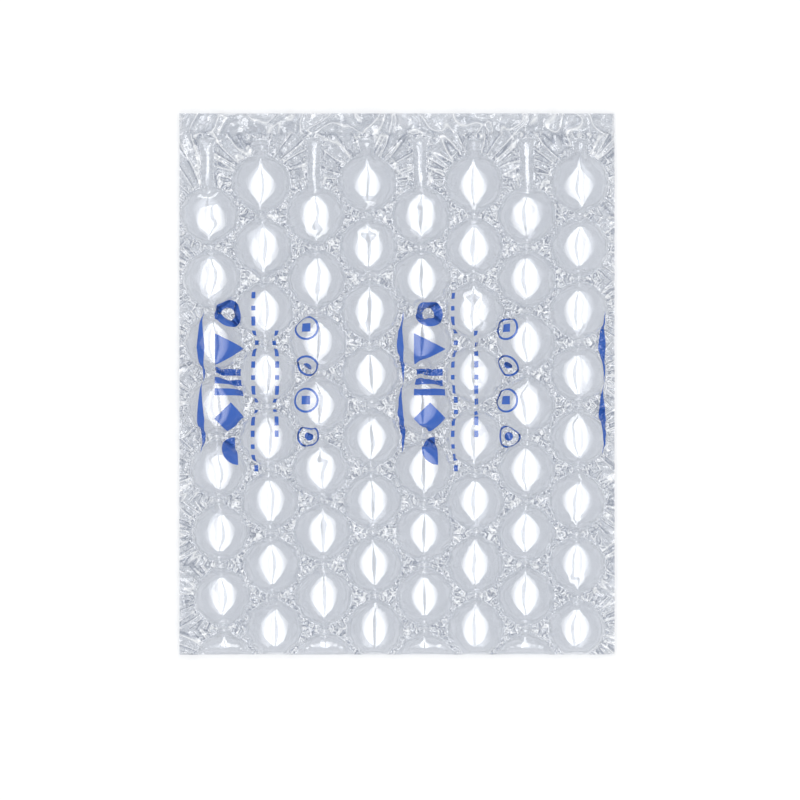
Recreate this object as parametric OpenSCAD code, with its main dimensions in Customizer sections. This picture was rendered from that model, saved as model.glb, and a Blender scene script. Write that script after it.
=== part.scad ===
// Inflated air cushion film: one folded sheet of clear film, heat-sealed into eight columns of
// round air cells. Neighbouring columns are set half a row apart, and short necks join the cells
// of a column. It lies flat on the undersides of its cells: X across the columns, +Y towards the
// slit edge where it was filled, the fold at -Y, Z up from the resting plane.

/* [Film] */
// Thickness of one ply of film
ply_t = 0.35; // [0.25:0.05:0.5]
// Length of the two loose plies above the machine seal
strip_l = 13.4; // [8:0.2:20]
// How far each loose ply stands off the seam plane at its cut edge
strip_rise = 2.2; // [1:0.1:4]
// Width of the machine seal, measured along Y
seal_w = 3.4; // [2:0.2:6]
// Spacing of the crinkles in the machine seal
crinkle_pitch = 3.2; // [2.4:0.2:6]
// Height of the crinkles in the machine seal, from valley to crest
crinkle_h = 1.2; // [0.8:0.1:2]

/* [Air cells] */
// Number of columns of cells
col_n = 8; // [4:2:10]
// Number of whole cells in the columns that end with a whole cell
row_n = 8; // [4:1:10]
// Distance between neighbouring columns at the first row
col_pitch = 35.7; // [35:0.1:40]
// Distance between neighbouring cells of one column
row_pitch = 42.7; // [41:0.1:46]
// Diameter of a filled cell
cell_d = 38; // [34:0.2:38.6]
// Rise of each dome of a cell above the seam plane
dome_h = 9.3; // [7:0.1:12]
// Diameter of the flat on which each cell rests
rest_d = 8; // [4:0.5:10]

/* [Air ways] */
// Width of the neck between two cells
neck_w = 9; // [6:0.2:12]
// Rise of the neck above the seam plane
neck_h = 2.6; // [1.5:0.1:4]
// Width of the inlets that filled the columns
inlet_w = 11; // [8:0.2:14]
// Rise of the inlets above the seam plane
inlet_h = 3; // [1.5:0.1:4]
// Length of the short inlets, from the machine seal to the first cell
inlet_l = 11.2; // [6:0.2:18]

/* [Edges] */
// Flat film left of the first column at the first row
left_top = 0.3; // [0.2:0.1:12]
// Flat film left of the first column at the fold
left_fold = 11; // [4:0.1:16]
// Flat film right of the last column at the first row
right_top = 4.2; // [0.2:0.1:12]
// Flat film right of the last column at the fold
right_fold = 6.7; // [4:0.1:16]
// Distance from the centre of the last whole cells to the fold
fold_l = 17.7; // [14:0.1:18.5]

/* [Gathers] */
// Height of the gathers in the flat film, corner to corner of their square section
gather_h = 2.4; // [1.6:0.1:4]
// Angle between neighbouring gathers above a cell
fan_step = 16; // [10:1:24]
// Length of the gathers in the side edges
side_gather_l = 9; // [4:0.5:16]

/* [Print] */
// Thickness of the printed ink
ink_t = 0.12; // [0.08:0.02:0.2]
// Distance from one repeat of the print to the next
repeat_l = 134.5; // [110:0.5:160]
// Distance from the left edge to the first repeat
print_left = 13; // [11:0.5:30]
// Distance from the slit edge to the middle of the print
print_mid = 181; // [150:1:220]
// Width of the row of bold shapes
bold_w = 19; // [12:0.5:21]
// Distance between neighbouring bold shapes
bold_pitch = 23; // [22:0.5:26]
// Diameter of the rings
ring_d = 15; // [10:0.5:18]
// Distance between neighbouring rings
ring_pitch = 24; // [19:0.5:27]
// Width of the lines that draw the rings
line_w = 1.3; // [0.8:0.1:2]
// Height of the rows of short dashes
dash_h = 2.4; // [1.5:0.1:3.5]
// Gap between the slim diamonds and the bold shapes
bold_gap = 6; // [3:0.5:9]
// Distance from the bold shapes to the first row of dashes
dash_gap = 8; // [5:0.5:10]
// Distance between the two rows of dashes
dash_pitch = 14; // [10:0.5:16]
// Distance from the second row of dashes to the rings
ring_gap = 14; // [10:0.5:18]

/* [Hidden] */

$fn = 64;
eps = 0.01;
// Lengths of the sheet
sheet_w = left_top + cell_d + (col_n - 1) * col_pitch + right_top;
first_row = strip_l + seal_w + inlet_l + cell_d / 2;
sheet_l = first_row + (row_n - 1) * row_pitch + fold_l;
top_y = sheet_l / 2;
seal_y = top_y - strip_l - seal_w;
fold_y = -sheet_l / 2;
// Domes are caps of one sphere; the seam plane lies where their flats touch the ground
dome_r = (cell_d * cell_d / 4 + dome_h * dome_h) / (2 * dome_h);
dome_drop = dome_r - dome_h;
mid_z = sqrt(dome_r * dome_r - rest_d * rest_d / 4) - dome_drop;
// Overlap of a neck into the cells that it joins
neck_in = 5;
// Rise of the bend at the fold above the tops of the domes
fold_rise = 1.5;
// Overlap of a fan gather into its cell, and the gathers on both sides of each upper cell
gather_in = 1;
fan_turns = [-2, -1, 1, 2];
// Distance between the gathers beside one neck
side_gather_step = 1.5 * gather_h;
// Lengths of the print along Y, and of its short row of dashes
print_l = 5.6 * bold_pitch;
short_row_l = 3.6 * bold_pitch;
// Slim diamonds, end to end along Y
slim_w = bold_w / 4;
slim_l = 2.1 * bold_pitch;
// Sizes of the bold shapes
hole_d = 0.45 * bold_w;
bar_w = 0.22 * bold_w;
bar_pitch = 0.37 * bold_w;
diamond_w = 0.72 * bold_w;
// Small solid shapes in the rings
dot_d = 0.36 * ring_d;
square_w = 0.34 * ring_d;
// Spacing of the dashes, and the three lengths that they take in turn
dash_step = 3.2 * dash_h;
dash_lengths = [0.5 * dash_step, 0.72 * dash_step, 0.36 * dash_step];
// Gap in the ink at the foot of a dome, where the print breaks off
ink_gap = 0.05;

// Y of row k in a column; the shifted columns lie half a row lower
function row_y(i, k) = top_y - first_row - (k + (is_shifted(i) ? 0.5 : 0)) * row_pitch;
function is_shifted(i) = i % 2 == 0;
// Share of the way from the first row to the fold
function way(y) = (top_y - first_row - y) / (top_y - first_row - fold_y);
function left_gap(y) = left_top + (left_fold - left_top) * way(y);
function right_gap(y) = right_top + (right_fold - right_top) * way(y);
function pitch_at(y) = (sheet_w - cell_d - left_gap(y) - right_gap(y)) / (col_n - 1);
// X of column i at height y: the columns draw together towards the fold
function col_x(i, y) = -sheet_w / 2 + left_gap(y) + cell_d / 2 + i * pitch_at(y);

// Ball of a dome, grown by a distance
module dome_ball(side, grow) {
    translate([0, 0, mid_z - side * dome_drop]) sphere(dome_r + grow);
}

// Lens between two domes
module lens(grow) {
    intersection() {
        dome_ball(1, grow);
        dome_ball(-1, grow);
    }
}

// Flat six-sided air way that follows column i from y_from down to y_to
module air_way(i, y_from, y_to, width, rise, grow) {
    x_from = col_x(i, y_from);
    x_to = col_x(i, y_to);
    half = width / 2 + grow;
    crest = rise + grow;
    translate([x_from, y_from, mid_z])
        rotate([90, 0, atan2(x_to - x_from, y_from - y_to)])
            linear_extrude(norm([x_to - x_from, y_from - y_to]))
                polygon([[-half, 0], [-half / 2, crest], [half / 2, crest],
                         [half, 0], [half / 2, -crest], [-half / 2, -crest]]);
}

// Space under the fold: the film turns back on itself there and closes the last cells
module fold_space(grow) {
    steps = 5;
    reach = cell_d / 2;
    crest = dome_h + fold_rise;
    upper = [for (s = [0 : steps])
        [reach * (1 - cos(90 * s / steps)), crest * sin(90 * s / steps)]];
    lower = [for (s = [steps : -1 : 1]) [upper[s][0], -upper[s][1]]];
    translate([-sheet_w, fold_y - grow, mid_z])
        rotate([90, 0, 90])
            linear_extrude(2 * sheet_w)
                polygon(concat(upper, [[2 * cell_d, crest], [2 * cell_d, -crest]], lower));
}

// All air cells, necks and the inlet of column i
module column(i, grow) {
    for (k = [0 : row_n - 2]) {
        translate([col_x(i, row_y(i, k)), row_y(i, k), 0]) lens(grow);
        air_way(i, row_y(i, k) - cell_d / 2 + neck_in, row_y(i, k + 1) + cell_d / 2 - neck_in,
                neck_w, neck_h, grow);
    }
    intersection() {
        translate([col_x(i, row_y(i, row_n - 1)), row_y(i, row_n - 1), 0]) lens(grow);
        fold_space(grow);
    }
    air_way(i, seal_y + (grow < 0 ? 0 : eps), row_y(i, 0) + cell_d / 2 - neck_in, inlet_w, inlet_h, grow);
}

module columns(grow) {
    for (i = [0 : col_n - 1]) column(i, grow);
}

module below(z) {
    translate([-sheet_w, -sheet_l, z - 4 * dome_h]) cube([2 * sheet_w, 2 * sheet_l, 4 * dome_h]);
}

// The two plies above the machine seal, which stand a little apart
module loose_plies() {
    for (side = [-1, 1])
        translate([-sheet_w / 2, top_y - strip_l, mid_z])
            rotate([90, 0, 90])
                linear_extrude(sheet_w)
                    polygon([[0, 0], [strip_l, side * (strip_rise - ply_t)],
                             [strip_l, side * strip_rise], [0, side * ply_t]]);
}

// Band of crinkles where the machine welds the plies, with crests on both faces
module machine_seal() {
    count = floor(sheet_w / crinkle_pitch);
    step = sheet_w / (2 * count);
    crest = ply_t + crinkle_h / 2;
    upper = [for (n = [0 : 2 * count]) [n * step, n % 2 == 0 ? ply_t : crest]];
    lower = [for (n = [2 * count : -1 : 0]) [n * step, n % 2 == 0 ? -crest : -ply_t]];
    translate([-sheet_w / 2, top_y - strip_l, mid_z])
        rotate([90, 0, 0])
            linear_extrude(seal_w)
                polygon(concat(upper, lower));
}

// Gather: a sharp fold that stands out of both faces, running from the origin along +Y
module gather(length) {
    side = gather_h / sqrt(2);
    rotate([0, 45, 0]) translate([-side / 2, 0, -side / 2]) cube([side, length, side]);
}

// Gathers that fan out from the first cells to the machine seal
module fan_gathers() {
    for (i = [1 : 2 : col_n - 1], turn = fan_turns) {
        y = row_y(i, 0);
        reach = (seal_y + seal_w / 2 - y) / cos(turn * fan_step);
        translate([col_x(i, y), y, mid_z])
            rotate([0, 0, turn * fan_step])
                translate([0, cell_d / 2 - gather_in, 0]) gather(reach - cell_d / 2);
    }
}

// Gathers in both side edges, three beside each neck of the outer columns
module side_gathers() {
    for (side = [-1, 1], k = [0 : row_n - 2], turn = [-1, 0, 1]) {
        i = side < 0 ? 0 : col_n - 1;
        y = (row_y(i, k) + row_y(i, k + 1)) / 2 + turn * side_gather_step;
        translate([side * sheet_w / 2, y, mid_z])
            rotate([0, 0, side * 90]) gather(side_gather_l);
    }
}

// The two plies where they lie flat on each other
module plate() {
    translate([-sheet_w / 2, fold_y, mid_z - ply_t])
        cube([sheet_w, seal_y + eps - fold_y, 2 * ply_t]);
}

module film() {
    color("lightblue", 0.6)
        difference() {
            union() {
                plate();
                columns(0);
                loose_plies();
                machine_seal();
                fan_gathers();
                side_gathers();
            }
            below(0);
            difference() {
                columns(-ply_t);
                below(ply_t);
            }
        }
}

// One row of dashes along Y, of three lengths in turn
module dashes(length) {
    count = floor(length / dash_step);
    for (n = [0 : count - 1])
        translate([0, (n - (count - 1) / 2) * dash_step])
            square([dash_h, dash_lengths[n % 3]], center = true);
}

// Row of bold plain shapes: ring, triangle, bars, diamond and half disc
module bold_shapes() {
    translate([0, 2 * bold_pitch]) difference() {
        circle(d = bold_w);
        circle(d = hole_d);
    }
    translate([0, bold_pitch])
        polygon([[-bold_w / 2, -bold_w / 2], [bold_w / 2, 0], [-bold_w / 2, bold_w / 2]]);
    for (bar = [-1, 0, 1])
        translate([0, bar * bar_pitch]) square([bold_w, bar_w], center = true);
    translate([0, -bold_pitch]) rotate([0, 0, 45]) square(diamond_w, center = true);
    translate([bold_w / 4, -2 * bold_pitch]) intersection() {
        circle(d = bold_w);
        translate([-bold_w, 0]) square(2 * bold_w, center = true);
    }
}

// Rings with a small solid shape in each
module rings() {
    for (n = [0 : 3]) translate([0, (n - 1.5) * ring_pitch]) {
        difference() {
            circle(d = ring_d);
            circle(d = ring_d - 2 * line_w);
        }
        if (n % 2 == 0) circle(d = dot_d);
        else square(square_w, center = true);
    }
}

// One repeat of the print, from its left edge
module repeat_of_print() {
    bold_x = slim_w + bold_gap;
    dash_x = bold_x + bold_w + dash_gap;
    ring_x = dash_x + dash_pitch + ring_gap;
    for (side = [-1, 1])
        translate([slim_w / 2, side * slim_l / 2])
            polygon([[-slim_w / 2, 0], [0, -slim_l / 2], [slim_w / 2, 0], [0, slim_l / 2]]);
    translate([bold_x + bold_w / 2, 0]) bold_shapes();
    translate([dash_x, 0]) dashes(print_l);
    translate([dash_x + dash_pitch, 0]) dashes(short_row_l);
    translate([ring_x + ring_d / 2, 0]) rings();
}

// All repeats, cut off at the right edge of the sheet
module print_outline() {
    intersection() {
        for (n = [0 : floor((sheet_w - print_left) / repeat_l)])
            translate([print_left - sheet_w / 2 + n * repeat_l, top_y - print_mid]) repeat_of_print();
        square([sheet_w, sheet_l], center = true);
    }
}

// Radius at which a dome, grown by a distance, stands at a level above the seam plane
function dome_reach(level, grow) = sqrt(pow(dome_r + grow, 2) - pow(dome_drop + level, 2));

function is_printed(y) = abs(y - (top_y - print_mid)) < (print_l + cell_d) / 2;

// Repeats its children at each cell under the print
module at_printed_cells() {
    for (i = [0 : col_n - 1], k = [0 : row_n - 1])
        if (is_printed(row_y(i, k))) translate([col_x(i, row_y(i, k)), row_y(i, k)]) children();
}

// Repeats its children at each neck under the print
module at_printed_necks() {
    for (i = [0 : col_n - 1], k = [0 : row_n - 2]) {
        y = (row_y(i, k) + row_y(i, k + 1)) / 2;
        lean = atan2(col_x(i, row_y(i, k + 1)) - col_x(i, row_y(i, k)), row_pitch);
        if (is_printed(y)) translate([col_x(i, y), y]) rotate(lean) children();
    }
}

// Ink on the domes
module dome_ink() {
    level = mid_z + ply_t;
    intersection() {
        translate([0, 0, level]) linear_extrude(2 * dome_h) difference() {
            print_outline();
            at_printed_necks() square([neck_w, row_pitch - 2 * dome_reach(neck_h, 0)], center = true);
        }
        at_printed_cells() difference() {
            intersection() {
                dome_ball(1, ink_t);
                translate([0, 0, level]) cylinder(d = cell_d + 1, h = dome_h);
            }
            dome_ball(1, 0);
        }
    }
}

// Ink on the flat film of the seams
module seam_ink() {
    translate([0, 0, mid_z + ply_t]) linear_extrude(ink_t) difference() {
        print_outline();
        at_printed_cells() circle(dome_reach(ply_t, ink_t) + ink_gap);
        at_printed_necks() square([neck_w, row_pitch / 2], center = true);
    }
}

// Ink on the crests of the necks
module neck_ink() {
    translate([0, 0, mid_z + neck_h]) linear_extrude(ink_t) intersection() {
        print_outline();
        difference() {
            at_printed_necks() square([neck_w / 2, row_pitch / 2], center = true);
            at_printed_cells() circle(dome_reach(neck_h, ink_t) + ink_gap);
        }
    }
}

// The print lies on the upper faces of the film and follows its domes
module print() {
    color("royalblue") {
        dome_ink();
        seam_ink();
        neck_ink();
    }
}

film();
print();
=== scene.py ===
import math

import bmesh
import bpy
import numpy as np
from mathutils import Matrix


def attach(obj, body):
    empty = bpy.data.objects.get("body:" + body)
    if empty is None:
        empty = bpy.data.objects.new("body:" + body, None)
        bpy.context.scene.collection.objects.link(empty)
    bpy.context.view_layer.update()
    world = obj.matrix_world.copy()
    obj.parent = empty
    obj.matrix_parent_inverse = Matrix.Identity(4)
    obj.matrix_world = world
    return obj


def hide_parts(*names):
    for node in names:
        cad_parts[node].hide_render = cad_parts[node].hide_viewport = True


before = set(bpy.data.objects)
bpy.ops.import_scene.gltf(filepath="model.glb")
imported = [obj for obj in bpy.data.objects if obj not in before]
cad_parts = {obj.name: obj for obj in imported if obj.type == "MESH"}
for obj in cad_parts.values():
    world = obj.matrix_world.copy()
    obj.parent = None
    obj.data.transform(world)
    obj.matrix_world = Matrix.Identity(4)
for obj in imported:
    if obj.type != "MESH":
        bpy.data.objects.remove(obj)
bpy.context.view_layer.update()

# Layout of the sheet, in metres, as in the part's source
COLUMNS = 8
ROWS = 8
COLUMN_PITCH = 0.0357
ROW_PITCH = 0.0427
CELL_D = 0.038
STRIP_L = 0.0134
STRIP_RISE = 0.0022
SEAL_W = 0.0034
INLET_L = 0.0112
INLET_W = 0.011
NECK_W = 0.009
LEFT_TOP = 0.0003
LEFT_FOLD = 0.011
RIGHT_TOP = 0.0042
RIGHT_FOLD = 0.0067
FOLD_L = 0.0177

SHEET_W = LEFT_TOP + CELL_D + (COLUMNS - 1) * COLUMN_PITCH + RIGHT_TOP
FIRST_ROW = STRIP_L + SEAL_W + INLET_L + CELL_D / 2
SHEET_L = FIRST_ROW + (ROWS - 1) * ROW_PITCH + FOLD_L
TOP_Y = SHEET_L / 2
FOLD_Y = -SHEET_L / 2
SEAL_Y = TOP_Y - STRIP_L - SEAL_W
# Height of the seam plane above the resting plane
MID_Z = 0.00897

# Print, as in the part's source
REPEATS = 3
REPEAT_L = 0.1345
PRINT_LEFT = 0.013
PRINT_MID = 0.181
BOLD_W = 0.019
BOLD_PITCH = 0.023
BOLD_GAP = 0.006
DASH_GAP = 0.008
DASH_PITCH = 0.014
RING_GAP = 0.014
RING_D = 0.015
RING_PITCH = 0.024
RING_COUNT = 4
LINE_W = 0.0013
DASH_H = 0.0024
DASH_LENGTHS = (0.5, 0.72, 0.36)
# Side of the print's mesh faces, and its height above the upper ply
INK_STEP = 0.0008
INK_LIFT = 0.00006

# Grid of the film, and how far each ply stands off the weld
GRID_STEP = 0.00115
PLY_GAP = 0.00004
# The flat map is in metres, moved so that all of it lies between 0 and 1
FLAT_SHIFT = 0.5
# Air spaces of the flat film: a cell's radius, how much it shrinks towards the fold, how much
# longer than wide it is, and half the width of an inlet and of a neck
AIR_R = 0.0199
AIR_SHRINK = 0.03
AIR_LENGTHEN = 1.04
INLET_HALF = 0.55 * INLET_W
NECK_HALF = 0.575 * NECK_W
# Puckers round one cell, and the length over which they change
PUCKERS = 46
PUCKER_LENGTH = 0.03
# Soft arcs round a cell's rim: how often they break, and how many lie in a pucker's length
ARC_TURNS = 1.3
ARC_COUNT = 8.5
# Film to spare along each way as a share of the filled layout: over the cells, and the part of
# that which margins and inlets have; the loose strip has its own shares along X and Y
FILM_TO_SPARE = 0.13
MARGIN_PART = 0.15
INLET_PART = 0.1
STRIP_SPARE_X = 1.07
STRIP_SPARE_Y = 1.03

# Filling: pressure on a grid step, how much film resists being pushed together, how much it
# resists bending, and how much stiffer two welded plies bend than one
PRESSURE = 0.002
PUSH_RESISTANCE = 0.35
STIFFNESS = 0.16
WELD_STIFFNESS = 2.5
DIAGONAL_PULL = 0.45
# Steps of the filling, the steps in which the pressure grows, and those between two levellings
FILL_STEPS = 600
PRESSURE_STEPS = 60
LEVEL_EVERY = 10
# In one step: the share of a force that becomes speed, the speed kept, the longest move as a
# share of the grid step, and the most that a spring counts as pressed or stretched
FORCE_SHARE = 0.22
SPEED_KEPT = 0.93
LONGEST_MOVE = 0.25
MOST_PRESSED = -0.6
MOST_STRETCHED = 0.5
# Film before it fills: height of the domes, the ripples in air and weld, the gathers round the
# cells and the crumples of the strip, with the grid steps over which each changes
SEED = 7
FIRST_DOME = 0.004
AIR_RIPPLE = 0.00008
WELD_RIPPLE = 0.0003
RIPPLE_STEPS = 3.2
GATHER_DEPTH = 0.00045
GATHER_SWAY = 1.4
GATHER_STEPS = 9
CRUMPLE_START = 0.0016
CRUMPLE_STEPS = 8

# Photograph: its side in pixels, and the size of a pixel on the sheet
PHOTO_SIDE = 800
PIXEL = 0.000672
PHOTO_CENTRE_X = 397.0
PHOTO_CENTRE_Y = 384.0
CAMERA_HEIGHT = 5.0

# Share of light that one ply mirrors, seen from straight above and at a glancing angle
GLOSS_FACING = 0.105
GLOSS_GLANCING = 0.52
GLOSS_CURVE = 1.3
FILM_ROUGHNESS = 0.045
# Colour of light through plain film and in the painted shade lines beside folds; the film's own
# milky light, and the pale milk of the painted highlight lines on the crests
CLEAR_TINT = (0.892, 0.903, 0.926, 1)
PAINTED_SHADE_TINT = (0.6, 0.625, 0.68, 1)
MILK = (0.74, 0.78, 0.85, 1)
PAINTED_HIGHLIGHT_MILK = (0.97, 0.98, 1.0, 1)
LEAST_HAZE = 0.03
MOST_HAZE = 0.13

# Share of pale milk added in the painted highlight lines along the creases
PAINTED_HIGHLIGHT_SHARE = 0.8

# Ink: its two shades, gloss and cover
INK_DARK = (0.006, 0.075, 0.42, 1)
INK_LIGHT = (0.03, 0.15, 0.62, 1)
INK_ROUGHNESS = 0.1
INK_IOR = 1.7
INK_COVER = 0.94

# Bump: what a wrinkle height of 1 stands for, and the depth of puckers and crumples
BUMP_HEIGHT = 0.0009
PUCKER_DEPTH = 1.5
CRUMPLE_DEPTH = 0.7
# Height of each kind of wrinkle before that, and how much stronger puckers are in open film
FOLD_HEIGHT = 1.5
FINE_FOLD_HEIGHT = 0.3
CREASE_PART = 0.26
FIELD_PART = 1.6
ARC_HEIGHT = 0.45
NECK_HEIGHT = 1.3
BEAD_HEIGHT = 3.0
RIM_BEAD_HEIGHT = 0.9
LARGE_FACET_HEIGHT = 2.6
SMALL_FACET_HEIGHT = 0.5
# Noise levels at which the painted shade and painted highlight lines lie beside a fold, and the
# share of each kind: puckers, beads, facets of the strip and arcs round the cells; then the
# painted highlight along each neck's crease
PAINTED_SHADE_LEVEL = 0.57
PAINTED_SHADE_SHARES = (1.0, 1.0, 0.35, 0.25)
PAINTED_HIGHLIGHT_LEVEL = 0.46
PAINTED_HIGHLIGHT_SHARES = (1.0, 1.0, 1.0, 0.22)
NECK_PAINTED_HIGHLIGHT = 0.5

# Levels of the lamps and the world
PANEL_LEVEL = 4.4
WORLD_LEVEL = 1.0
# Share of a panel's light that is left at its outer corner
PANEL_FADE = 0.3
# The world's brightness by height: horizon 0, zenith 1
WORLD_BANDS = ((0.0, 0.3), (0.3, 0.55), (0.5, 0.78), (0.7, 0.5), (0.9, 0.4), (1.0, 0.42))
# Overhead lamp panels: height, reach along X and Y, and half the gap between them
PANEL_HEIGHT = 2.0
PANEL_WIDE = 0.96
PANEL_LONG = 1.3
PANEL_GAP = 0.072
# Colour of the room, and the floor: half its side, its colour, the light that it adds where it
# is seen, and its distance below the resting plane
ROOM_TINT = (0.96, 0.98, 1.0)
FLOOR_REACH = 6.0
FLOOR_COLOUR = (0.8, 0.8, 0.8, 1)
FLOOR_GLOW = 0.3
FLOOR_DROP = 0.0004


def is_long(i):
    """Columns with a long inlet lie half a row lower."""
    return i % 2 == 0


def row_y(i, k):
    return TOP_Y - FIRST_ROW - (k + (0.5 if is_long(i) else 0.0)) * ROW_PITCH


def way(y):
    """Share of the way from the first row to the fold."""
    return (TOP_Y - FIRST_ROW - y) / (TOP_Y - FIRST_ROW - FOLD_Y)


def left_gap(y):
    return LEFT_TOP + (LEFT_FOLD - LEFT_TOP) * way(y)


def right_gap(y):
    return RIGHT_TOP + (RIGHT_FOLD - RIGHT_TOP) * way(y)


def column_x(i, y):
    pitch = (SHEET_W - CELL_D - left_gap(y) - right_gap(y)) / (COLUMNS - 1)
    return -SHEET_W / 2 + left_gap(y) + CELL_D / 2 + i * pitch


# Camera, lamps and floor

def add_camera():
    camera = bpy.data.cameras.new("camera")
    camera.sensor_fit = "HORIZONTAL"
    view = PHOTO_SIDE * PIXEL
    camera.angle = 2 * math.atan(view / 2 / (CAMERA_HEIGHT - MID_Z))
    camera.clip_start = 0.01
    camera.clip_end = 50
    thing = bpy.data.objects.new("camera", camera)
    thing.location = (
        (PHOTO_SIDE / 2 - PHOTO_CENTRE_X) * PIXEL,
        (PHOTO_CENTRE_Y - PHOTO_SIDE / 2) * PIXEL,
        CAMERA_HEIGHT,
    )
    bpy.context.scene.collection.objects.link(thing)
    bpy.context.scene.camera = thing


def add_panel(name, side):
    """One half of a soft overhead lamp: a triangle beside the middle line, facing down."""
    inner = side * PANEL_GAP
    corners = [(inner, -PANEL_LONG), (inner, PANEL_LONG), (side * PANEL_WIDE, 0)]
    mesh = bpy.data.meshes.new(name)
    mesh.from_pydata([(x, y, PANEL_HEIGHT) for x, y in corners], [], [(0, 1, 2)])
    material = bpy.data.materials.new(name)
    material.use_nodes = True
    nodes, links = material.node_tree.nodes, material.node_tree.links
    nodes.clear()
    glow = nodes.new("ShaderNodeEmission")
    place = nodes.new("ShaderNodeTexCoord")
    split = nodes.new("ShaderNodeSeparateXYZ")
    links.new(place.outputs["Object"], split.inputs[0])
    fade = nodes.new("ShaderNodeMapRange")
    fade.interpolation_type = "SMOOTHSTEP"
    fade.inputs["From Min"].default_value = inner
    fade.inputs["From Max"].default_value = side * PANEL_WIDE
    fade.inputs["To Min"].default_value = PANEL_LEVEL
    fade.inputs["To Max"].default_value = PANEL_FADE * PANEL_LEVEL
    links.new(split.outputs["X"], fade.inputs["Value"])
    links.new(fade.outputs["Result"], glow.inputs["Strength"])
    links.new(glow.outputs[0], nodes.new("ShaderNodeOutputMaterial").inputs["Surface"])
    mesh.materials.append(material)
    panel = bpy.data.objects.new(name, mesh)
    panel.visible_camera = False
    bpy.context.scene.collection.objects.link(panel)


def add_world():
    """Soft room: pale walls all round at half height, a darker ceiling and a dark horizon."""
    world = bpy.data.worlds.new("studio")
    world.use_nodes = True
    nodes, links = world.node_tree.nodes, world.node_tree.links
    background = nodes["Background"]
    background.inputs["Strength"].default_value = WORLD_LEVEL
    place = nodes.new("ShaderNodeTexCoord")
    split = nodes.new("ShaderNodeSeparateXYZ")
    links.new(place.outputs["Generated"], split.inputs[0])
    bands = nodes.new("ShaderNodeValToRGB")
    bands.color_ramp.interpolation = "EASE"
    stops = bands.color_ramp.elements
    while len(stops) < len(WORLD_BANDS):
        stops.new(0.5)
    for stop, (height, level) in zip(stops, WORLD_BANDS):
        stop.position = height
        stop.color = tuple(level * tint for tint in ROOM_TINT) + (1,)
    links.new(split.outputs["Z"], bands.inputs["Fac"])
    links.new(bands.outputs["Color"], background.inputs["Color"])
    bpy.context.scene.world = world


def add_floor():
    """White floor that takes the sheet's shadow, and shows white to the camera and in gloss."""
    far = FLOOR_REACH
    mesh = bpy.data.meshes.new("floor")
    corners = [(-far, -far), (far, -far), (far, far), (-far, far)]
    mesh.from_pydata([(x, y, -FLOOR_DROP) for x, y in corners], [], [(0, 1, 2, 3)])
    floor = bpy.data.objects.new("floor", mesh)
    bpy.context.scene.collection.objects.link(floor)
    material = bpy.data.materials.new("floor_white")
    material.use_nodes = True
    nodes, links = material.node_tree.nodes, material.node_tree.links
    nodes.clear()
    output = nodes.new("ShaderNodeOutputMaterial")
    diffuse = nodes.new("ShaderNodeBsdfDiffuse")
    diffuse.inputs["Color"].default_value = FLOOR_COLOUR
    glow = nodes.new("ShaderNodeEmission")
    tree = material.node_tree
    path = nodes.new("ShaderNodeLightPath").outputs
    seen = math_node(tree, "ADD", path["Is Camera Ray"], path["Is Glossy Ray"], clamp=True)
    seen = math_node(tree, "ADD", seen, path["Is Transmission Ray"], clamp=True)
    add = nodes.new("ShaderNodeAddShader")
    links.new(math_node(tree, "MULTIPLY", seen, FLOOR_GLOW), glow.inputs["Strength"])
    links.new(diffuse.outputs[0], add.inputs[0])
    links.new(glow.outputs[0], add.inputs[1])
    links.new(add.outputs[0], output.inputs["Surface"])
    mesh.materials.append(material)


# Filling the film with air

def smoothstep(low, high, value):
    """0 below low, 1 above high, and a soft step between them."""
    t = np.clip((value - low) / (high - low), 0, 1)
    return t * t * (3 - 2 * t)


def air_distance(x, y):
    """Distance to the air spaces of the flat film, negative inside them."""
    distance = np.full(x.shape, 1.0)
    for i in range(COLUMNS):
        centre = column_x(i, y)
        for k in range(ROWS):
            cell_y = row_y(i, k)
            radius = AIR_R * (1 - AIR_SHRINK * way(cell_y))
            away = np.hypot(x - column_x(i, cell_y), (y - cell_y) / AIR_LENGTHEN)
            distance = np.minimum(distance, away - radius)
        top = row_y(i, 0)
        bottom = row_y(i, ROWS - 1)
        inlet = np.maximum(np.abs(x - centre) - INLET_HALF, np.maximum(y - SEAL_Y, top - y))
        neck = np.maximum(np.abs(x - centre) - NECK_HALF, np.maximum(y - top, bottom - y))
        distance = np.minimum(distance, np.minimum(inlet, neck))
    return distance


def soft_noise(shape, step, random):
    """Noise that changes over about step samples."""
    rows, cols = shape
    knots = random.standard_normal((int(rows / step) + 3, int(cols / step) + 3))
    v = np.arange(rows) / step
    u = np.arange(cols) / step
    v0, u0 = v.astype(int), u.astype(int)
    fv, fu = v - v0, u - u0
    fv = (fv * fv * (3 - 2 * fv))[:, None]
    fu = (fu * fu * (3 - 2 * fu))[None, :]
    near = knots[np.ix_(v0, u0)] * (1 - fu) + knots[np.ix_(v0, u0 + 1)] * fu
    far = knots[np.ix_(v0 + 1, u0)] * (1 - fu) + knots[np.ix_(v0 + 1, u0 + 1)] * fu
    return near * (1 - fv) + far * fv


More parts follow.
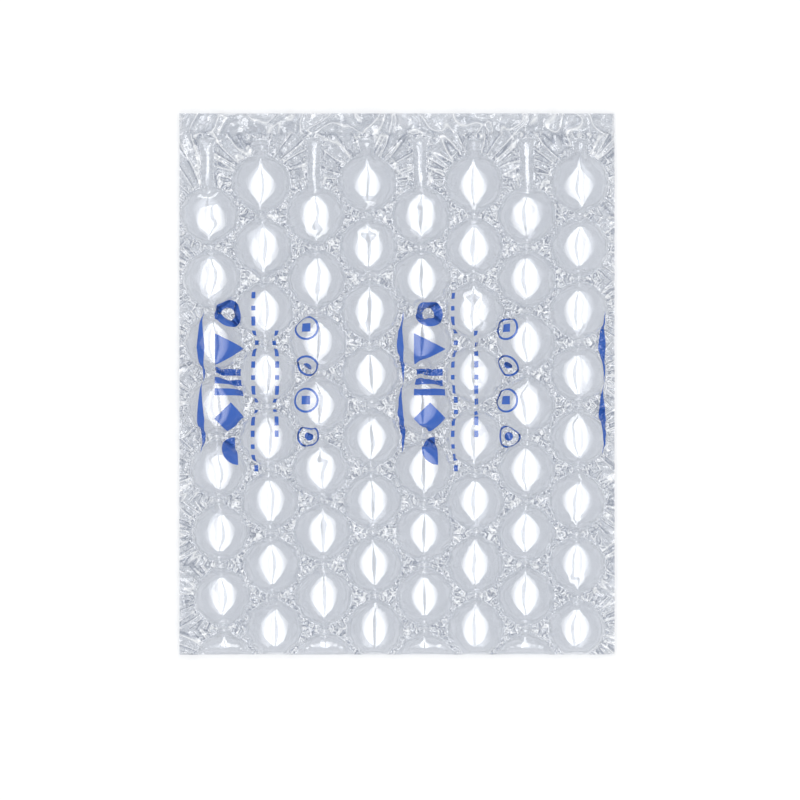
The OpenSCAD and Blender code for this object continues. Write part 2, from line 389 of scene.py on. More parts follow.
class Film:
    """Two plies on one grid; row 0 is the slit edge and the last row is the fold."""

    def __init__(self):
        cols = round(SHEET_W / GRID_STEP) + 1
        rows = round(SHEET_L / GRID_STEP) + 1
        xs = np.linspace(-SHEET_W / 2, SHEET_W / 2, cols)
        ys = np.linspace(TOP_Y, FOLD_Y, rows)
        self.x, self.y = (a.astype(np.float32) for a in np.meshgrid(xs, ys))
        self.step_x = xs[1] - xs[0]
        self.step_y = ys[0] - ys[1]
        self.distance = air_distance(self.x, self.y).astype(np.float32)
        self.air = self.distance < 0
        self.loose = self.y > SEAL_Y + SEAL_W
        self.weld = ~self.air & ~self.loose
        self.weld[-1, :] = True
        self.places = None

    def spare(self):
        """Film to spare along X and along Y, as a share of the drawn-in layout."""
        left = column_x(0, self.y) - CELL_D / 2
        right = column_x(COLUMNS - 1, self.y) + CELL_D / 2
        beside = np.maximum(left - self.x, self.x - right)
        inside_x = 1 - smoothstep(-0.004, 0.004, beside)
        first = TOP_Y - FIRST_ROW
        inside_y = 1 - smoothstep(first + 0.004, first + 0.02, self.y)
        spare_x = 1 + FILM_TO_SPARE * (MARGIN_PART + (1 - MARGIN_PART) * inside_x)
        spare_y = 1 + FILM_TO_SPARE * (INLET_PART + (1 - INLET_PART) * inside_y)
        return (
            np.where(self.loose, STRIP_SPARE_X, spare_x),
            np.where(self.loose, STRIP_SPARE_Y, spare_y),
        )

    def gathers(self, random):
        """Ripples that run out from the nearest cell across the welded film."""
        centre_x, centre_y = cell_centres()
        near = np.full(self.x.shape, np.inf)
        around = np.zeros(self.x.shape)
        for cell_x, cell_y in zip(centre_x, centre_y):
            away = np.hypot(self.x - cell_x, self.y - cell_y)
            closer = away < near
            turn = np.arctan2(self.y - cell_y, self.x - cell_x)
            near = np.where(closer, away, near)
            around = np.where(closer, turn, around)
        sway = GATHER_SWAY * soft_noise(self.x.shape, GATHER_STEPS, random)
        wave = np.sin(around * PUCKERS + sway)
        return GATHER_DEPTH * wave * smoothstep(0.0005, 0.003, self.distance)

    def start(self):
        """Both plies nearly flat, with the ripples from which the wrinkles grow."""
        random = np.random.default_rng(SEED)
        dome = np.sqrt(np.clip(-self.distance / 0.02, 0, 1)) * FIRST_DOME
        depth = np.where(self.air, AIR_RIPPLE, WELD_RIPPLE)
        ripple = soft_noise(self.x.shape, RIPPLE_STEPS, random) * depth
        ripple += self.gathers(random)
        strip = np.clip((self.y - SEAL_Y - SEAL_W) / STRIP_L, 0, 1)
        places = np.zeros((2,) + self.x.shape + (3,), np.float32)
        for ply, side in ((0, 1), (1, -1)):
            crumple = soft_noise(self.x.shape, CRUMPLE_STEPS, random) * CRUMPLE_START
            crumple = crumple * np.minimum(1, 3 * strip)
            places[ply, ..., 0] = self.x
            places[ply, ..., 1] = self.y
            places[ply, ..., 2] = side * (dome + strip * STRIP_RISE * 0.6) + ripple + crumple
        self.places = places

    def fill(self, steps):
        """Fills the air spaces: springs hold the film's size, pressure lifts it, welds hold it."""
        self.start()
        places = self.places
        spare_x, spare_y = self.spare()
        whole = slice(None)
        first, last = slice(None, -1), slice(1, None)
        along = self.step_x * (spare_x[:, 1:] + spare_x[:, :-1]) / 2
        down = self.step_y * (spare_y[1:] + spare_y[:-1]) / 2
        diagonal = np.hypot(
            self.step_x * (spare_x[1:, 1:] + spare_x[:-1, :-1]) / 2,
            self.step_y * (spare_y[1:, 1:] + spare_y[:-1, :-1]) / 2,
        )
        springs = [
            ((whole, whole, first), (whole, whole, last), along, 1.0),
            ((whole, first, whole), (whole, last, whole), down, 1.0),
            ((whole, first, first), (whole, last, last), diagonal, DIAGONAL_PULL),
            ((whole, first, last), (whole, last, first), diagonal, DIAGONAL_PULL),
        ]
        springs = [(a, b, length.astype(np.float32), pull) for a, b, length, pull in springs]
        speed = np.zeros_like(places)
        lift = (PRESSURE * GRID_STEP * self.air[1:-1, 1:-1]).astype(np.float32)
        inner = (whole, slice(1, -1), slice(1, -1))
        stiff = np.where(self.air, STIFFNESS, WELD_STIFFNESS * STIFFNESS).astype(np.float32)
        stiff = stiff[None, 1:-1, 1:-1, None]

        def off_its_neighbours(field):
            """How far the mean of the four neighbours lies from each point."""
            return (
                field[:, 1:-1, 2:] + field[:, 1:-1, :-2] + field[:, 2:, 1:-1] + field[:, :-2, 1:-1]
            ) / 4 - field[inner]

        for step in range(steps):
            force = np.zeros_like(places)
            for a, b, length, pull in springs:
                reach = places[b] - places[a]
                size = np.sqrt(np.einsum("...i,...i->...", reach, reach)) + 1e-9
                strain = np.clip((size - length) / size, MOST_PRESSED, MOST_STRETCHED)
                strain = np.where(strain < 0, strain * PUSH_RESISTANCE, strain) * pull
                reach *= strain[..., None]
                force[a] += reach
                force[b] -= reach
            across = places[:, 1:-1, 2:] - places[:, 1:-1, :-2]
            up = places[:, :-2, 1:-1] - places[:, 2:, 1:-1]
            normal = np.cross(across, up) / (4 * self.step_x * self.step_y)
            normal *= (lift * min(1.0, step / PRESSURE_STEPS))[None, ..., None]
            force[0, 1:-1, 1:-1] += normal[0]
            force[1, 1:-1, 1:-1] -= normal[1]
            bend = np.zeros_like(places)
            bend[inner] = off_its_neighbours(places)
            force[inner] -= off_its_neighbours(bend) * stiff
            speed = (speed + force * FORCE_SHARE) * SPEED_KEPT
            np.clip(speed, -LONGEST_MOVE * GRID_STEP, LONGEST_MOVE * GRID_STEP, out=speed)
            mean = (speed[0] + speed[1]) / 2
            speed[:, self.weld] = mean[self.weld]
            speed[:, :, (0, -1), 0] = 0
            speed[:, (0, -1), :, 1] = 0
            places += speed
            z = places[..., 2]
            crossed = z[0] < z[1]
            middle = (z[0] + z[1]) / 2
            z[0][crossed] = middle[crossed]
            z[1][crossed] = middle[crossed]
            np.maximum(z, -MID_Z, out=z)
            if step % LEVEL_EVERY == 0:
                z -= z[:, self.weld].mean() / 2

    def normals(self, ply):
        """Upward normal at each point of one ply."""
        place = self.places[ply]
        across = np.gradient(place, axis=1)
        up = -np.gradient(place, axis=0)
        normal = np.cross(across, up)
        return normal / (np.linalg.norm(normal, axis=-1, keepdims=True) + 1e-12)

    def surface(self, ply):
        """Places of one ply's outer face, above the resting plane."""
        side = 1 if ply == 0 else -1
        gap = np.full(self.x.shape + (1,), PLY_GAP)
        gap[:, (0, -1)] = gap[-1] = 0
        place = self.places[ply] + side * gap * self.normals(ply)
        place[..., 2] = np.maximum(place[..., 2] + MID_Z, 0)
        return place


def cell_centres():
    """Centres of all cells on the flat film, as two arrays."""
    places = [
        (column_x(i, row_y(i, k)), row_y(i, k)) for i in range(COLUMNS) for k in range(ROWS)
    ]
    return np.array(places).T


def neck_centres():
    """Centres of the necks between the cells of each column, as two arrays."""
    places = []
    for i in range(COLUMNS):
        for k in range(ROWS - 1):
            y = (row_y(i, k) + row_y(i, k + 1)) / 2
            places.append((column_x(i, y), y))
    return np.array(places).T


def nearest_of(x, y, centre_x, centre_y):
    """Index of the nearest centre for each place."""
    nearest = np.empty(len(x), int)
    for start in range(0, len(x), 20000):
        part = slice(start, start + 20000)
        away = (x[part, None] - centre_x) ** 2 + (y[part, None] - centre_y) ** 2
        nearest[part] = away.argmin(axis=1)
    return nearest


def pucker_map(x, y, corners, face_of_corner):
    """Angle round the nearest cell and distance from its rim, for each corner of the faces."""
    centre_x, centre_y = cell_centres()
    sides = np.bincount(face_of_corner)
    middle_x = np.bincount(face_of_corner, x[corners]) / sides
    middle_y = np.bincount(face_of_corner, y[corners]) / sides
    nearest = nearest_of(middle_x, middle_y, centre_x, centre_y)
    middle = np.arctan2(middle_y - centre_y[nearest], middle_x - centre_x[nearest])
    nearest, middle = nearest[face_of_corner], middle[face_of_corner]
    away_x = x[corners] - centre_x[nearest]
    away_y = y[corners] - centre_y[nearest]
    turn = np.arctan2(away_y, away_x) - middle
    turn = middle + np.arctan2(np.sin(turn), np.cos(turn))
    around = turn / (2 * math.pi) * PUCKERS + nearest * 7.3
    outwards = (np.hypot(away_x, away_y) - CELL_D / 2) / PUCKER_LENGTH + nearest * 3.1
    return np.stack([around, outwards], axis=-1)


def neck_crease(x, y):
    """1 along the short crease across each neck, 0 away from it."""
    centre_x, centre_y = neck_centres()
    nearest = nearest_of(x, y, centre_x, centre_y)
    along = smoothstep(0.0085, 0.005, np.abs(x - centre_x[nearest]))
    return along * np.exp(-(((y - centre_y[nearest]) / 0.0014) ** 2))


def add_film_maps(mesh, x, y):
    """Maps that the film's and the ink's materials read, from each point's place on the flat film."""
    corners = np.empty(len(mesh.loops), np.int32)
    mesh.loops.foreach_get("vertex_index", corners)
    sides = np.empty(len(mesh.polygons), np.int32)
    mesh.polygons.foreach_get("loop_total", sides)
    face_of_corner = np.repeat(np.arange(len(sides)), sides)
    maps = {
        "flat": np.stack([x[corners], y[corners]], axis=-1) + FLAT_SHIFT,
        "puckers": pucker_map(x, y, corners, face_of_corner),
    }
    for name, places in maps.items():
        layer = mesh.uv_layers.get(name) or mesh.uv_layers.new(name=name)
        layer.data.foreach_set("uv", places.astype(np.float32).ravel())
    distance = air_distance(x, y)
    values = {
        "crease": smoothstep(-0.010, -0.0015, distance),
        "weld": smoothstep(-0.0015, 0.001, distance),
        "field": smoothstep(0.0025, 0.006, distance),
        "loose": smoothstep(SEAL_Y + 0.6 * SEAL_W, SEAL_Y + 1.2 * SEAL_W, y),
        "neck": neck_crease(x, y),
    }
    for name, value in values.items():
        attribute = mesh.attributes.new(name, "FLOAT", "POINT")
        attribute.data.foreach_set("value", value.astype(np.float32).ravel())


def ply_mesh(film, ply, name, material):
    """Object of one ply, its faces turned outwards."""
    place = film.surface(ply)
    rows, cols = film.x.shape
    index = np.arange(rows * cols).reshape(rows, cols)
    a, b = index[:-1, :-1], index[1:, :-1]
    c, d = index[1:, 1:], index[:-1, 1:]
    order = (a, b, c, d) if ply == 0 else (a, d, c, b)
    quads = np.stack(order, axis=-1).reshape(-1, 4)
    mesh = bpy.data.meshes.new(name)
    mesh.from_pydata(place.reshape(-1, 3).tolist(), [], quads.tolist())
    mesh.polygons.foreach_set("use_smooth", np.ones(len(quads), bool))
    mesh.update()
    add_film_maps(mesh, film.x.ravel().astype(float), film.y.ravel().astype(float))
    mesh.materials.append(material)
    thing = bpy.data.objects.new(name, mesh)
    bpy.context.scene.collection.objects.link(thing)
    return thing


# Materials

def new_group(name, inputs, outputs):
    """Empty shader group with named sockets, each given as (name, kind, value)."""
    group = bpy.data.node_groups.new(name, "ShaderNodeTree")
    for title, kind, value in inputs:
        socket = group.interface.new_socket(title, in_out="INPUT", socket_type=kind)
        socket.default_value = value
    for title, kind in outputs:
        group.interface.new_socket(title, in_out="OUTPUT", socket_type=kind)
    return group, group.nodes.new("NodeGroupInput"), group.nodes.new("NodeGroupOutput")


def math_node(tree, operation, first, second=None, clamp=False):
    """Output of a math node between sockets or numbers."""
    node = tree.nodes.new("ShaderNodeMath")
    node.operation = operation
    node.use_clamp = clamp
    for slot, value in enumerate((first, second)):
        if value is None:
            continue
        if isinstance(value, (int, float)):
            node.inputs[slot].default_value = value
        else:
            tree.links.new(value, node.inputs[slot])
    return node.outputs[0]


def attribute_node(tree, name):
    node = tree.nodes.new("ShaderNodeAttribute")
    node.attribute_name = name
    return node.outputs["Fac"]


def map_node(tree, name, scale):
    """UV map of that name, stretched by scale."""
    source = tree.nodes.new("ShaderNodeUVMap")
    source.uv_map = name
    stretch = tree.nodes.new("ShaderNodeMapping")
    stretch.inputs["Scale"].default_value = scale
    tree.links.new(source.outputs["UV"], stretch.inputs["Vector"])
    return stretch.outputs["Vector"]


def noise_node(tree, vector, scale, detail=2.0, roughness=0.5, distortion=0.0, space="2D"):
    """Soft noise between 0 and 1 over the vector."""
    node = tree.nodes.new("ShaderNodeTexNoise")
    node.noise_dimensions = space
    node.inputs["Scale"].default_value = scale
    node.inputs["Detail"].default_value = detail
    node.inputs["Roughness"].default_value = roughness
    node.inputs["Distortion"].default_value = distortion
    tree.links.new(vector, node.inputs["Vector"])
    return node.outputs["Fac"]


def ridge(tree, value):
    """Folds a noise into crests: 1 where it is a half, falling off on both sides."""
    off = math_node(tree, "ABSOLUTE", math_node(tree, "SUBTRACT", value, 0.5))
    return math_node(tree, "SUBTRACT", 1.0, math_node(tree, "MULTIPLY", off, 4.0))


def painted_fold_line(tree, value, level, sharpness=14.0):
    """Thin line where a noise passes a level: the painted shade and painted highlight lines beside
    folds.
    """
    off = math_node(tree, "ABSOLUTE", math_node(tree, "SUBTRACT", value, level))
    return math_node(tree, "SUBTRACT", 1.0, math_node(tree, "MULTIPLY", off, sharpness), clamp=True)


def rim_arcs(tree, puckers):
    """Noise in long arcs that follow the rim of each cell, unbroken all the way round."""
    split = tree.nodes.new("ShaderNodeSeparateXYZ")
    tree.links.new(puckers, split.inputs[0])
    angle = math_node(tree, "MULTIPLY", split.outputs["X"], 2 * math.pi / PUCKERS)
    join = tree.nodes.new("ShaderNodeCombineXYZ")
    for axis, turn in (("X", "COSINE"), ("Y", "SINE")):
        side = math_node(tree, "MULTIPLY", math_node(tree, turn, angle), ARC_TURNS)
        tree.links.new(side, join.inputs[axis])
    tree.links.new(math_node(tree, "MULTIPLY", split.outputs["Y"], ARC_COUNT), join.inputs["Z"])
    return noise_node(tree, join.outputs[0], 1.0, 0.0, space="3D")


def wrinkle_group():
    """Puckers that run out from each cell, crumples in the seams and in the loose strip, a haze
    noise, and the painted shade and painted highlight lines beside the folds.
    """
    group, given, result = new_group(
        "film_wrinkles",
        [("Pucker Depth", "NodeSocketFloat", 1.0), ("Crumple Depth", "NodeSocketFloat", 1.0)],
        [
            ("Height", "NodeSocketFloat"),
            ("Haze", "NodeSocketFloat"),
            ("Shade", "NodeSocketFloat"),
            ("Painted Highlight", "NodeSocketFloat"),
        ],
    )
    crease = attribute_node(group, "crease")
    weld = attribute_node(group, "weld")
    loose = attribute_node(group, "loose")
    field = attribute_node(group, "field")
    seam = math_node(group, "SUBTRACT", weld, field, clamp=True)
    tight = math_node(group, "SUBTRACT", 1.0, loose)
    puckers = map_node(group, "puckers", (1, 1, 1))
    folds = noise_node(group, puckers, 0.7, 0.0)
    fine = noise_node(group, puckers, 1.7, 0.0)
    arcs = rim_arcs(group, puckers)
    radial = math_node(group, "ADD", math_node(group, "MULTIPLY", folds, FOLD_HEIGHT),
                       math_node(group, "MULTIPLY", fine, FINE_FOLD_HEIGHT))
    rim = math_node(group, "MULTIPLY", arcs, crease)
    growth = math_node(group, "ADD", math_node(group, "MULTIPLY", crease, CREASE_PART), weld)
    growth = math_node(group, "ADD", growth, math_node(group, "MULTIPLY", field, FIELD_PART))
    radial = math_node(group, "MULTIPLY", radial, growth)
    radial = math_node(group, "MULTIPLY", radial, tight)
    radial = math_node(group, "ADD", radial, math_node(group, "MULTIPLY", rim, ARC_HEIGHT))
    neck = attribute_node(group, "neck")
    radial = math_node(group, "ADD", radial, math_node(group, "MULTIPLY", neck, NECK_HEIGHT))
    flat = map_node(group, "flat", (1, 1, 1))
    large = noise_node(group, flat, 55, 0.0, 0.5, 0.9)
    middle = ridge(group, noise_node(group, flat, 130, 0.0, 0.5, 0.6))
    beads = noise_node(group, flat, 270, 0.5, 0.5, 0.5)
    facets = math_node(
        group, "ADD",
        math_node(group, "MULTIPLY", ridge(group, large), LARGE_FACET_HEIGHT),
        math_node(group, "MULTIPLY", middle, SMALL_FACET_HEIGHT),
    )
    at_rim = math_node(group, "POWER", crease, 4.0)
    beaded = math_node(group, "ADD", math_node(group, "MULTIPLY", seam, BEAD_HEIGHT),
                       math_node(group, "MULTIPLY", at_rim, RIM_BEAD_HEIGHT))
    seam_beads = math_node(group, "MULTIPLY", beads, beaded)
    crumple = math_node(group, "ADD", math_node(group, "MULTIPLY", facets, loose), seam_beads)
    height = math_node(
        group, "ADD",
        math_node(group, "MULTIPLY", radial, given.outputs["Pucker Depth"]),
        math_node(group, "MULTIPLY", crumple, given.outputs["Crumple Depth"]),
    )
    group.links.new(height, result.inputs["Height"])
    haze = noise_node(group, flat, 45, 3.0, 0.6)
    group.links.new(haze, result.inputs["Haze"])
    # Painted shade and painted highlight: thin dark and pale lines beside each fold in the seams, the
    # strip and round the cells, and a pale line along each neck.
    outside = math_node(group, "MULTIPLY", weld, tight)
    painted_neck_highlight = math_node(group, "MULTIPLY", neck, NECK_PAINTED_HIGHLIGHT)
    lines = (
        ("Shade", PAINTED_SHADE_LEVEL, PAINTED_SHADE_SHARES, None),
        ("Painted Highlight", PAINTED_HIGHLIGHT_LEVEL, PAINTED_HIGHLIGHT_SHARES, painted_neck_highlight),
    )
    sources = ((folds, outside), (beads, seam), (large, loose), (arcs, crease))
    for output, level, shares, amount in lines:
        for (noise, mask), share in zip(sources, shares):
            line = math_node(group, "MULTIPLY", painted_fold_line(group, noise, level), mask)
            line = math_node(group, "MULTIPLY", line, share)
            amount = line if amount is None else math_node(group, "ADD", amount, line, clamp=True)
        group.links.new(amount, result.inputs[output])
    return group


def place_wrinkles(tree, group):
    """Puts the shared wrinkles into a material and returns the group node and a bumped normal."""
    wrinkles = tree.nodes.new("ShaderNodeGroup")
    wrinkles.node_tree = group
    wrinkles.inputs["Pucker Depth"].default_value = PUCKER_DEPTH
    wrinkles.inputs["Crumple Depth"].default_value = CRUMPLE_DEPTH
    bump = tree.nodes.new("ShaderNodeBump")
    bump.inputs["Strength"].default_value = 1.0
    bump.inputs["Distance"].default_value = BUMP_HEIGHT
    tree.links.new(wrinkles.outputs["Height"], bump.inputs["Height"])
    return wrinkles, bump.outputs["Normal"]


def film_material(wrinkle_tree):
    """Clear film: lets light through with a tint that is darker in painted shade lines, scatters
    some, with pale painted highlight lines, and mirrors more at the edges.
    """
    material = bpy.data.materials.new("clear_film")
    material.use_nodes = True
    tree = material.node_tree
    nodes, links = tree.nodes, tree.links
    nodes.clear()
    output = nodes.new("ShaderNodeOutputMaterial")
    wrinkles, normal = place_wrinkles(tree, wrinkle_tree)

    clear = nodes.new("ShaderNodeBsdfTransparent")
    # Painted shade: along thin lines beside the folds the film's tint turns darker.
    tint = nodes.new("ShaderNodeMix")
    tint.data_type = "RGBA"
    tint.inputs["A"].default_value = CLEAR_TINT
    tint.inputs["B"].default_value = PAINTED_SHADE_TINT
    links.new(wrinkles.outputs["Shade"], tint.inputs["Factor"])
    links.new(tint.outputs["Result"], clear.inputs["Color"])

    # Painted highlight: along thin lines on the crests and necks the milk turns pale and its share
    # grows.
    milk = nodes.new("ShaderNodeBsdfDiffuse")
    pale = nodes.new("ShaderNodeMix")
    pale.data_type = "RGBA"
    pale.inputs["A"].default_value = MILK
    pale.inputs["B"].default_value = PAINTED_HIGHLIGHT_MILK
    links.new(wrinkles.outputs["Painted Highlight"], pale.inputs["Factor"])
    links.new(pale.outputs["Result"], milk.inputs["Color"])
    milky = nodes.new("ShaderNodeMixShader")
    share = nodes.new("ShaderNodeMapRange")
    share.inputs["To Min"].default_value = LEAST_HAZE
    share.inputs["To Max"].default_value = MOST_HAZE
    links.new(wrinkles.outputs["Haze"], share.inputs["Value"])
    painted_highlight_fac = math_node(tree, "MULTIPLY", wrinkles.outputs["Painted Highlight"], PAINTED_HIGHLIGHT_SHARE)
    links.new(math_node(tree, "ADD", share.outputs["Result"], painted_highlight_fac), milky.inputs["Fac"])
    links.new(clear.outputs[0], milky.inputs[1])
    links.new(milk.outputs[0], milky.inputs[2])

    gloss = nodes.new("ShaderNodeBsdfAnisotropic")
    gloss.inputs["Color"].default_value = (1, 1, 1, 1)
    gloss.inputs["Roughness"].default_value = FILM_ROUGHNESS
    links.new(normal, gloss.inputs["Normal"])
    facing = nodes.new("ShaderNodeLayerWeight")
    facing.inputs["Blend"].default_value = 0.5
    links.new(normal, facing.inputs["Normal"])
    mirror = nodes.new("ShaderNodeMapRange")
    mirror.inputs["To Min"].default_value = GLOSS_FACING
    mirror.inputs["To Max"].default_value = GLOSS_GLANCING
    curve = math_node(tree, "POWER", facing.outputs["Facing"], GLOSS_CURVE)
    links.new(curve, mirror.inputs["Value"])
    shell = nodes.new("ShaderNodeMixShader")
    links.new(mirror.outputs["Result"], shell.inputs["Fac"])
    links.new(milky.outputs[0], shell.inputs[1])
    links.new(gloss.outputs[0], shell.inputs[2])
    links.new(shell.outputs[0], output.inputs["Surface"])
    return material


def ink_material(wrinkle_tree):
    """Blue ink that follows the film's wrinkles and lets a little light through."""
    material = bpy.data.materials.new("blue_ink")
    material.use_nodes = True
    tree = material.node_tree
    nodes, links = tree.nodes, tree.links
    shader = nodes["Principled BSDF"]
    shader.inputs["Roughness"].default_value = INK_ROUGHNESS
    shader.inputs["IOR"].default_value = INK_IOR
    shader.inputs["Alpha"].default_value = INK_COVER
    wrinkles, normal = place_wrinkles(tree, wrinkle_tree)
    links.new(normal, shader.inputs["Normal"])
    ramp = nodes.new("ShaderNodeMix")
    ramp.data_type = "RGBA"
    ramp.inputs["A"].default_value = INK_DARK
    ramp.inputs["B"].default_value = INK_LIGHT
    links.new(wrinkles.outputs["Haze"], ramp.inputs["Factor"])
    links.new(ramp.outputs["Result"], shader.inputs["Base Color"])
    return material


# Print: flat motifs, laid on the upper ply

def patch(u_count, v_count, place):
    """Grid of points from a function of two shares, with its quads."""
    u, v = np.meshgrid(np.linspace(0, 1, u_count + 1), np.linspace(0, 1, v_count + 1))
    x, y = place(u, v)
    points = np.stack([x.ravel(), y.ravel()], axis=-1)
    index = np.arange(points.shape[0]).reshape(v_count + 1, u_count + 1)
    quads = np.stack([index[:-1, :-1], index[:-1, 1:], index[1:, 1:], index[1:, :-1]], axis=-1)
    return points, quads.reshape(-1, 4)


def count_for(length):
    """Faces along a length of print."""
    return max(1, round(length / INK_STEP))


def bar(x, y, width, length):
    """Rectangle round its middle."""
    return patch(
        count_for(width), count_for(length),
        lambda u, v: (x + (u - 0.5) * width, y + (v - 0.5) * length),
    )


def taper(x, y, width, length):
    """Rhombus with its long way along Y."""
    def place(u, v):
        share = 1 - np.abs(2 * v - 1)
        return x + (u - 0.5) * width * share, y + (v - 0.5) * length
    return patch(count_for(width), 2 * count_for(length / 2), place)


def pointer(x, y, size):
    """Triangle that points along +X."""
    def place(u, v):
        return x + (u - 0.5) * size, y + (v - 0.5) * size * (1 - u)
    return patch(count_for(size), count_for(size), place)


def arc_piece(x, y, inner, outer, start, turn):
    """Part of a ring or a disc."""
    def place(u, v):
        radius = inner + (outer - inner) * v
        angle = start + turn * u
        return x + radius * np.cos(angle), y + radius * np.sin(angle)
    return patch(count_for(outer * turn), count_for(outer - inner), place)


def dashes(x, length):
    """Row of dashes of three lengths along Y."""
    step = 3.2 * DASH_H
    count = int(length / step + 1e-6)
    return [
        bar(x, (n - (count - 1) / 2) * step, DASH_H, step * DASH_LENGTHS[n % 3])
        for n in range(count)
    ]


def bold_shapes(x):
    """Ring, triangle, three bars, diamond and half disc, from top to bottom."""
    full = 2 * math.pi
    shapes = [arc_piece(x, 2 * BOLD_PITCH, 0.225 * BOLD_W, BOLD_W / 2, 0, full)]
    shapes.append(pointer(x, BOLD_PITCH, BOLD_W))
    shapes += [bar(x, n * 0.37 * BOLD_W, BOLD_W, 0.22 * BOLD_W) for n in (-1, 0, 1)]
    diagonal = 0.72 * math.sqrt(2) * BOLD_W
    shapes.append(taper(x, -BOLD_PITCH, diagonal, diagonal))
    shapes.append(arc_piece(x + BOLD_W / 4, -2 * BOLD_PITCH, 0, BOLD_W / 2, math.pi / 2, math.pi))
    return shapes


def rings(x):
    """Column of rings with a dot or a square in each."""
    shapes = []
    for n in range(RING_COUNT):
        y = (n - (RING_COUNT - 1) / 2) * RING_PITCH
        shapes.append(arc_piece(x, y, RING_D / 2 - LINE_W, RING_D / 2, 0, 2 * math.pi))
        if n % 2 == 0:
            shapes.append(arc_piece(x, y, 0, 0.18 * RING_D, 0, 2 * math.pi))
        else:
            shapes.append(bar(x, y, 0.34 * RING_D, 0.34 * RING_D))
    return shapes


def one_repeat():
    """Shapes of one repeat, its left edge at 0 and its middle at 0."""
    slim_w = BOLD_W / 4
    slim_l = 2.1 * BOLD_PITCH
    shapes = [taper(slim_w / 2, side * slim_l / 2, slim_w, slim_l) for side in (-1, 1)]
    shapes += bold_shapes(slim_w + BOLD_GAP + BOLD_W / 2)
    dash_x = slim_w + BOLD_GAP + BOLD_W + DASH_GAP
    shapes += dashes(dash_x, 5.6 * BOLD_PITCH)
    shapes += dashes(dash_x + DASH_PITCH, 3.6 * BOLD_PITCH)
    shapes += rings(dash_x + DASH_PITCH + RING_GAP + RING_D / 2)
    return shapes


def flat_repeat():
    """Mesh of one repeat of the print on the flat film."""
    points, faces, total = [], [], 0
    for flat, quads in one_repeat():
        points.append(flat + (PRINT_LEFT - SHEET_W / 2, TOP_Y - PRINT_MID))
        faces.append(quads + total)
        total += len(flat)
    points = np.concatenate(points)
    points = np.column_stack([points, np.zeros(total)])
    mesh = bpy.data.meshes.new("flat_repeat")
    mesh.from_pydata(points.tolist(), [], np.concatenate(faces).tolist())
    shape = bmesh.new()
    shape.from_mesh(mesh)
    bmesh.ops.remove_doubles(shape, verts=shape.verts, dist=0.00005)
    for face in shape.faces:
        face.smooth = True
    shape.to_mesh(mesh)
    shape.free()
    return mesh


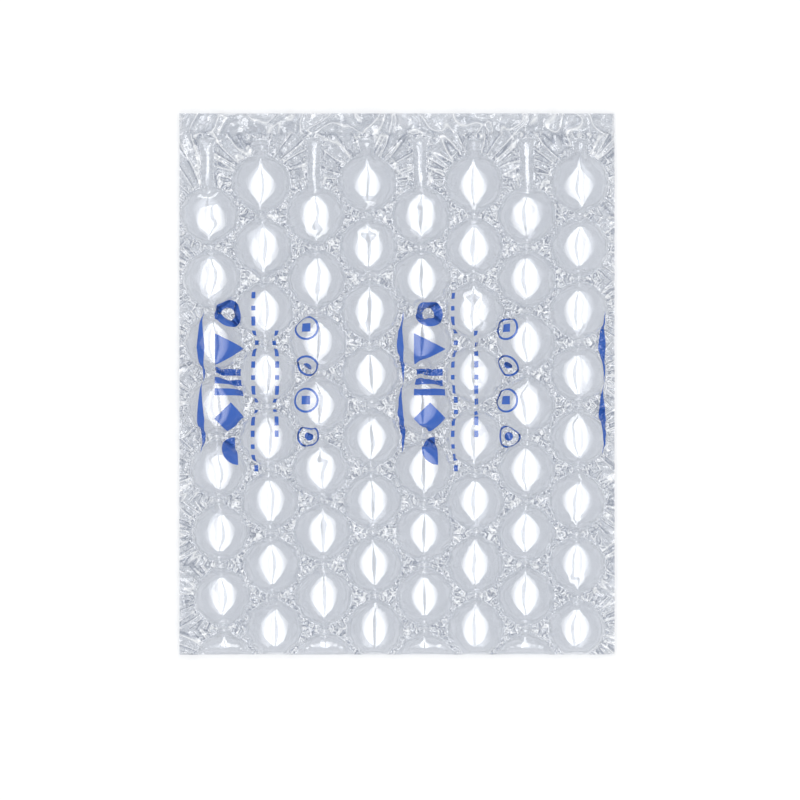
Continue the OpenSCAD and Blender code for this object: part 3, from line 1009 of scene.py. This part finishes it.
def print_tree():
    """Repeats the flat print across the sheet and lays it on the upper ply by its flat map."""
    tree = bpy.data.node_groups.new("print_on_film", "GeometryNodeTree")
    given = (
        ("Geometry", "NodeSocketGeometry", None),
        ("Film", "NodeSocketObject", None),
        ("Ink", "NodeSocketMaterial", None),
        ("Repeats", "NodeSocketInt", REPEATS),
        ("Repeat Length", "NodeSocketFloat", REPEAT_L),
        ("Right Edge", "NodeSocketFloat", SHEET_W / 2),
        ("Ink Lift", "NodeSocketFloat", INK_LIFT),
    )
    for name, kind, value in given:
        socket = tree.interface.new_socket(name, in_out="INPUT", socket_type=kind)
        if value is not None:
            socket.default_value = value
    tree.interface.new_socket("Geometry", in_out="OUTPUT", socket_type="NodeSocketGeometry")
    nodes, links = tree.nodes, tree.links
    source = nodes.new("NodeGroupInput")
    result = nodes.new("NodeGroupOutput")

    step = nodes.new("ShaderNodeCombineXYZ")
    links.new(source.outputs["Repeat Length"], step.inputs["X"])
    line = nodes.new("GeometryNodeMeshLine")
    links.new(source.outputs["Repeats"], line.inputs["Count"])
    links.new(step.outputs[0], line.inputs["Offset"])
    copies = nodes.new("GeometryNodeInstanceOnPoints")
    links.new(line.outputs["Mesh"], copies.inputs["Points"])
    links.new(source.outputs["Geometry"], copies.inputs["Instance"])
    real = nodes.new("GeometryNodeRealizeInstances")
    links.new(copies.outputs["Instances"], real.inputs["Geometry"])

    place = nodes.new("GeometryNodeInputPosition")
    split = nodes.new("ShaderNodeSeparateXYZ")
    links.new(place.outputs[0], split.inputs[0])
    beyond = nodes.new("FunctionNodeCompare")
    beyond.operation = "GREATER_THAN"
    links.new(split.outputs["X"], beyond.inputs["A"])
    links.new(source.outputs["Right Edge"], beyond.inputs["B"])
    cut = nodes.new("GeometryNodeDeleteGeometry")
    cut.domain = "POINT"
    links.new(real.outputs["Geometry"], cut.inputs["Geometry"])
    links.new(beyond.outputs["Result"], cut.inputs["Selection"])
    keep = nodes.new("GeometryNodeStoreNamedAttribute")
    keep.data_type = "FLOAT_VECTOR"
    keep.domain = "POINT"
    keep.inputs["Name"].default_value = "flat_place"
    links.new(cut.outputs["Geometry"], keep.inputs["Geometry"])
    links.new(place.outputs[0], keep.inputs["Value"])

    ply = nodes.new("GeometryNodeObjectInfo")
    links.new(source.outputs["Film"], ply.inputs["Object"])
    flat_map = nodes.new("GeometryNodeInputNamedAttribute")
    flat_map.data_type = "FLOAT_VECTOR"
    flat_map.inputs["Name"].default_value = "flat"
    shift = nodes.new("ShaderNodeVectorMath")
    shift.operation = "ADD"
    shift.inputs[1].default_value = (FLAT_SHIFT, FLAT_SHIFT, 0)
    links.new(place.outputs[0], shift.inputs[0])
    sampled = []
    for field in (nodes.new("GeometryNodeInputPosition"), nodes.new("GeometryNodeInputNormal")):
        sample = nodes.new("GeometryNodeSampleUVSurface")
        sample.data_type = "FLOAT_VECTOR"
        links.new(ply.outputs["Geometry"], sample.inputs["Mesh"])
        links.new(field.outputs[0], sample.inputs["Value"])
        links.new(flat_map.outputs["Attribute"], sample.inputs["UV Map"])
        links.new(shift.outputs[0], sample.inputs["Sample UV"])
        sampled.append(sample.outputs["Value"])
    lift = nodes.new("ShaderNodeVectorMath")
    lift.operation = "SCALE"
    links.new(sampled[1], lift.inputs[0])
    links.new(source.outputs["Ink Lift"], lift.inputs["Scale"])
    above = nodes.new("ShaderNodeVectorMath")
    above.operation = "ADD"
    links.new(sampled[0], above.inputs[0])
    links.new(lift.outputs[0], above.inputs[1])
    lay = nodes.new("GeometryNodeSetPosition")
    links.new(keep.outputs["Geometry"], lay.inputs["Geometry"])
    links.new(above.outputs[0], lay.inputs["Position"])
    coat = nodes.new("GeometryNodeSetMaterial")
    links.new(lay.outputs["Geometry"], coat.inputs["Geometry"])
    links.new(source.outputs["Ink"], coat.inputs["Material"])
    links.new(coat.outputs["Geometry"], result.inputs["Geometry"])
    return tree


def printed_shapes(upper, ink):
    """The whole print as one plain mesh on the upper ply."""
    tree = print_tree()
    sketch = bpy.data.objects.new("print_sketch", flat_repeat())
    bpy.context.scene.collection.objects.link(sketch)
    modifier = sketch.modifiers.new("print_on_film", "NODES")
    modifier.node_group = tree
    values = {"Film": upper, "Ink": ink, "Repeats": REPEATS, "Repeat Length": REPEAT_L,
              "Right Edge": SHEET_W / 2, "Ink Lift": INK_LIFT}
    for socket in tree.interface.items_tree:
        if socket.in_out == "INPUT" and socket.name in values:
            modifier[socket.identifier] = values[socket.name]
    graph = bpy.context.evaluated_depsgraph_get()
    mesh = bpy.data.meshes.new_from_object(sketch.evaluated_get(graph))
    bpy.data.objects.remove(sketch)
    mesh.name = "printed_shapes"
    flat = np.empty(3 * len(mesh.vertices), np.float32)
    mesh.attributes["flat_place"].data.foreach_get("vector", flat)
    mesh.attributes.remove(mesh.attributes["flat_place"])
    flat = flat.reshape(-1, 3).astype(float)
    add_film_maps(mesh, flat[:, 0], flat[:, 1])
    thing = bpy.data.objects.new("printed_shapes", mesh)
    bpy.context.scene.collection.objects.link(thing)
    return thing


bpy.context.scene.view_settings.view_transform = "Standard"
add_camera()
add_world()
add_panel("panel_left", -1)
add_panel("panel_right", 1)
add_floor()

film = Film()
film.fill(FILL_STEPS)
wrinkle_tree = wrinkle_group()
clear_film = film_material(wrinkle_tree)
upper = ply_mesh(film, 0, "upper_ply", clear_film)
lower = ply_mesh(film, 1, "lower_ply", clear_film)
printed = printed_shapes(upper, ink_material(wrinkle_tree))

for ply in (upper, lower):
    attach(ply, "root")
    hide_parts("film")
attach(printed, "root")
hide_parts("print")
